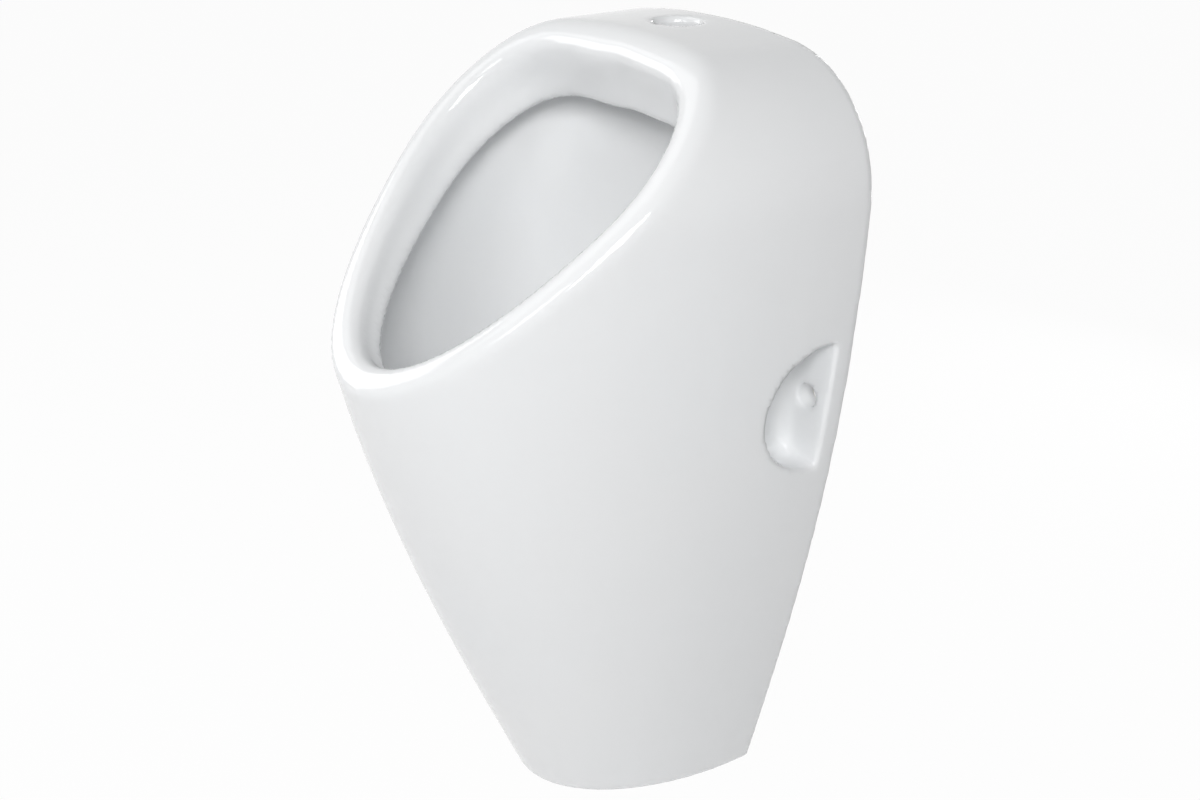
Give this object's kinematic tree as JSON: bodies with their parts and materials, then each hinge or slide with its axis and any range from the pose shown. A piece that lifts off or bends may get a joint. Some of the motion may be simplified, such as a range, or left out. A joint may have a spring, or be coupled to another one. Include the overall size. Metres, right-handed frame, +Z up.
{
  "type": "wall hung urinal",
  "caption": "Small white vitreous china urinal that hangs on a wall, with a sloping open mouth, a top water inlet, side fixing pockets and a hidden waste with bottle trap.",
  "frame": {"origin": "on the wall plane, midway between the two fixing holes", "axes": "+X to the right as seen by the user facing the wall, +Y into the wall, +Z up"},
  "size_m": [0.3222, 0.3061, 0.6],
  "materials": {
    "china": "gloss, fired white glaze",
    "strainer_steel": "satin",
    "waste_brass": "bright plated",
    "nut_brass": "machined",
    "trap_plastic": "satin moulded",
    "seal_rubber": "matt"
  },
  "bodies": {
    "china": {"ceramic_body": "china", "waste_body": "waste_brass", "waste_top_gasket": "seal_rubber", "waste_under_gasket": "seal_rubber", "waste_backnut": "nut_brass", "tail_union_nut": "trap_plastic", "tail_union_washer": "seal_rubber", "trap_dip_tube": "trap_plastic", "trap_slip_nut": "trap_plastic", "trap_slip_washer": "seal_rubber", "trap_housing": "trap_plastic", "outlet_slip_nut": "trap_plastic", "outlet_washer": "seal_rubber", "outlet_pipe": "trap_plastic"},
    "strainer": {"drain_strainer": "strainer_steel"},
    "cup": {"trap_cup": "trap_plastic", "trap_cup_washer": "seal_rubber"}
  },
  "joints": [
    {"name": "strainer_lift", "type": "slide", "parent": "china", "child": "strainer", "axis": [0, 0, 1], "range_m": [0, 0.06]},
    {"name": "cup_drop", "type": "slide", "parent": "china", "child": "cup", "axis": [0, 0, -1], "range_m": [0, 0.06]}
  ]
}
